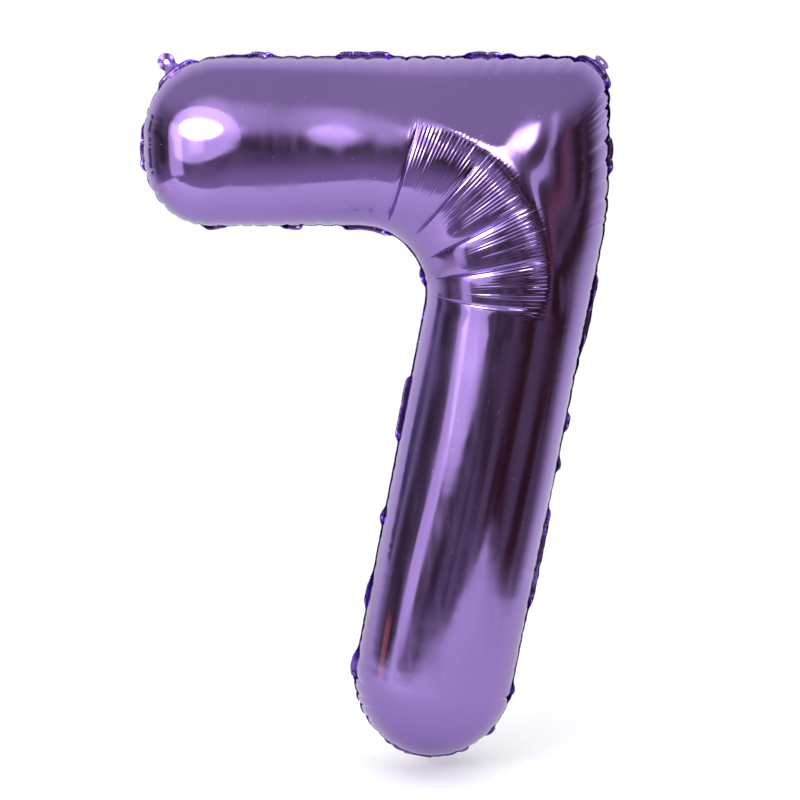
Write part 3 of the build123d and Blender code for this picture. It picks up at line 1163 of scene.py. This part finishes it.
class BALLOON_OT_stage(bpy.types.Operator):
    """Set the floor, the lights and the camera"""

    bl_idname = "balloon.stage"
    bl_label = "Floor, lights and camera"
    bl_options = {"REGISTER", "UNDO"}

    WHITE = (1.0, 1.0, 1.0)
    CEILING = (0.60, 0.60, 0.60)
    GROUND = (0.53, 0.47, 0.56)
    DARK_LEFT = (0.062, 0.053, 0.050)
    DARK_RIGHT = (0.074, 0.030, 0.026)
    CLUTTER = (0.20, 0.165, 0.16)
    BLACK = (0, 0, 0)
    FLOOR_LIGHT = (1.10, 1.10, 1.10)
    SPILL = (-0.33, -0.91, 0.24)  # towards the wall that the left soft box lights
    SPILL_COLOUR = (0.90, 0.90, 0.90)
    AIM = Vector((0.27, 0, -0.30))
    FLOOR_GAP = 0.012  # below the lowest point of the foot
    FLAG_ENDS = ((-2.1, 0.75), (-1.9, 1.25))
    FLAG_HEIGHTS = ((-0.08, 0.42), (-0.62, -0.16))
    EYE = (0.275, -2.9, 0.02)
    SENSOR = 36
    VIEW_WIDTH = 0.96
    VIEW_MIDDLE = Vector((0.275, 0, -0.402))

    def execute(self, context):
        self.world()
        self.floor()
        self.lights()
        self.flags()
        self.camera()
        context.scene.view_settings.view_transform = "Standard"
        return {"FINISHED"}

    def world(self):
        """The room that the foil mirrors, by direction, and a plain white background."""
        world = bpy.data.worlds.new("Studio")
        bpy.context.scene.world = world
        world.use_nodes = True
        self.tree = world.node_tree
        place = node(self.tree, "ShaderNodeTexCoord").outputs["Generated"]
        part = node(self.tree, "ShaderNodeSeparateXYZ", place).outputs
        clutter = node(self.tree, "ShaderNodeTexNoise", place, scale=4, detail=1)
        shade = self.share(clutter.outputs["Fac"], 0.42, 0.62)
        dark_left = self.between(shade, self.DARK_LEFT, self.CLUTTER)
        dark_right = self.between(shade, self.DARK_RIGHT, self.CLUTTER)
        dark = self.between(self.share(part["X"], -0.1, 0.4), dark_left, dark_right)
        upper = self.between(self.share(part["Z"], 0.04, 0.62), dark, self.CEILING)
        ground = self.between(self.share(part["X"], 0.05, 0.40), self.GROUND, dark_right)
        lit = self.between(self.share(part["Z"], -0.08, -0.62), upper, ground)
        spill = node(
            self.tree, "ShaderNodeVectorMath", place, self.SPILL, operation="DOT_PRODUCT"
        ).outputs["Value"]
        above = self.between(self.share(part["Z"], 0.0, 0.22), self.BLACK, self.SPILL_COLOUR)
        glow = self.between(self.share(spill, 0.84, 1.0), self.BLACK, above)
        room = node(self.tree, "ShaderNodeVectorMath", lit, glow).outputs["Vector"]
        open_side = self.between(self.share(part["Y"], 0.05, 0.60), room, self.WHITE)
        behind = self.between(self.share(part["Y"], 0.90, 0.96), open_side, room)
        path = node(self.tree, "ShaderNodeLightPath").outputs
        mirrored = self.between(path["Is Diffuse Ray"], behind, self.FLOOR_LIGHT)
        seen = self.between(path["Is Camera Ray"], mirrored, self.WHITE)
        feed(self.tree, self.tree.nodes["Background"].inputs["Color"], seen)

    def share(self, value, start, end):
        """A smooth step of a value from start to end."""
        step = node(
            self.tree, "ShaderNodeMapRange", value, start, end, interpolation_type="SMOOTHSTEP"
        )
        return step.outputs[0]

    def between(self, share, *colours):
        """A colour that goes from the first to the second."""
        sides = [
            side if isinstance(side, bpy.types.NodeSocket) else rgba(side) for side in colours
        ]
        return mixed(self.tree, share, *sides)

    def floor(self):
        """A pale floor, and a darker copy of it that shows only in the foil: painted shade on the
        floor it mirrors.
        """
        height = CAD_BOX[0][2] - self.FLOOR_GAP
        # The second plane is the floor again at albedo 0.74, seen only in the foil's reflections:
        # painted shade.
        for name, shade, low, high, drop in (
            ("floor", 0.96, (-6, -6), (6, 6), 0.002), ("shaded_floor", 0.74, (-1.4, -0.85), (0.9, 3.5), 0)
        ):
            finish = Finish("Pale " + name)
            pale = finish.mix(finish.noise(2, 2), rgba((shade,) * 3, 0.985), rgba((shade,) * 3, 1.015))
            finish.set(base_color=pale, roughness=0.9)
            mesh = bpy.data.meshes.new(name)
            corners = ((low[0], low[1]), (high[0], low[1]), (high[0], high[1]), (low[0], high[1]))
            mesh.from_pydata([(x, y, height - drop) for x, y in corners], [], [(0, 1, 2, 3)])
            plane = add_object(name, mesh)
            plane.data.materials.append(finish.material)
            plane.visible_glossy = name == "shaded_floor"
            plane.visible_camera = name == "floor"
            plane.visible_diffuse = name == "floor"
            plane.visible_shadow = name == "floor"

    def lights(self):
        """Soft boxes, each given by its place, size, brightness and colour."""
        for name, place, size, brightness, colour in (
            ("soft_box_left", (-1.00, -1.85, 0.20), (1.30, 0.62), 10.0, (1, 1, 1)),
            ("spill_left", (-1.06, -1.97, 0.20), (2.60, 1.70), 1.05, (1, 1, 1)),
            ("soft_box_right", (1.0, -2.0, 0.66), (0.60, 0.50), 6.0, (1, 1, 1)),
            ("card", (0.62, -2.1, 0.80), (0.35, 0.35), 0.75, (0.85, 1, 0.92)),
            ("window", (-1.45, -1.1, -0.30), (0.62, 1.15), 1.15, (1, 1, 1)),
            ("door", (1.75, -1.5, 0.45), (0.25, 1.1), 0.9, (1, 1, 1)),
            ("curtain", (1.9, -0.9, -0.2), (0.30, 0.9), 0.13, (1, 0.12, 0.14)),
            ("box", (-0.95, -0.15, -0.78), (0.22, 0.16), 0.5, (1, 0.35, 0.10)),
        ):
            light = bpy.data.lights.new(name, "AREA")
            light.shape = "ELLIPSE" if "left" in name else "RECTANGLE"
            light.size, light.size_y = size
            light.energy = brightness * pi * size[0] * size[1]
            light.color = colour
            lamp = bpy.data.objects.new(name, light)
            bpy.context.scene.collection.objects.link(lamp)
            lamp.location = place
            lamp.rotation_euler = (self.AIM - lamp.location).to_track_quat("-Z", "Y").to_euler()
            lamp.visible_camera = False

    def flags(self):
        """Dark cards at the side, which the foil mirrors near its left edge."""
        dark = Finish("Dark card")
        shade = dark.mix(dark.noise(3, 2), rgba((0.05, 0.06, 0.08)), rgba((0.12, 0.13, 0.16)))
        dark.set(base_color=shade)
        near, far = self.FLAG_ENDS
        for number, (low, high) in enumerate(self.FLAG_HEIGHTS):
            mesh = bpy.data.meshes.new(f"flag_{number}")
            corners = [(*near, low), (*far, low), (*far, high), (*near, high)]
            mesh.from_pydata(corners, [], [(0, 1, 2, 3)])
            flag = add_object(f"flag_{number}", mesh)
            flag.data.materials.append(dark.material)
            flag.visible_camera = False

    def camera(self):
        """The camera straight in front, level with the top of the seven."""
        camera = bpy.data.cameras.new("Camera")
        eye = bpy.data.objects.new("Camera", camera)
        bpy.context.scene.collection.objects.link(eye)
        eye.location = self.EYE
        aim = self.VIEW_MIDDLE - eye.location
        eye.rotation_euler = aim.to_track_quat("-Z", "Y").to_euler()
        camera.sensor_width = self.SENSOR
        camera.lens = camera.sensor_width * aim.length / self.VIEW_WIDTH
        bpy.context.scene.camera = eye


# ---------------------------------------------------------------- panel and start


OPERATORS = (
    BALLOON_OT_films,
    BALLOON_OT_band,
    BALLOON_OT_tabs,
    BALLOON_OT_neck,
    BALLOON_OT_valve,
    BALLOON_OT_stage,
)


class BALLOON_PT_panel(bpy.types.Panel):
    """The balloon's settings and builders"""

    bl_idname = "BALLOON_PT_panel"
    bl_label = "Foil balloon seven"
    bl_space_type = "VIEW_3D"
    bl_region_type = "UI"
    bl_category = "Balloon"

    def draw(self, context):
        scene = context.scene
        for group in (scene.balloon_sizes, scene.balloon_wrinkles, scene.balloon_colours):
            box = self.layout.box()
            for name in group.__annotations__:
                box.prop(group, name)
        for operator in OPERATORS:
            self.layout.operator(operator.bl_idname)


GROUPS = {
    "balloon_sizes": BalloonSizes,
    "balloon_wrinkles": BalloonWrinkles,
    "balloon_colours": BalloonColours,
}


def register():
    for name, group in GROUPS.items():
        bpy.utils.register_class(group)
        setattr(bpy.types.Scene, name, PointerProperty(type=group))
    for item in (*OPERATORS, BALLOON_PT_panel):
        bpy.utils.register_class(item)


def unregister():
    for item in reversed((*OPERATORS, BALLOON_PT_panel)):
        bpy.utils.unregister_class(item)
    for name, group in GROUPS.items():
        delattr(bpy.types.Scene, name)
        bpy.utils.unregister_class(group)


def main():
    """Registers the add-on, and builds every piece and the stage."""
    register()
    for operator in OPERATORS:
        family, name = operator.bl_idname.split(".")
        getattr(getattr(bpy.ops, family), name)()


if __name__ == "__main__":
    main()
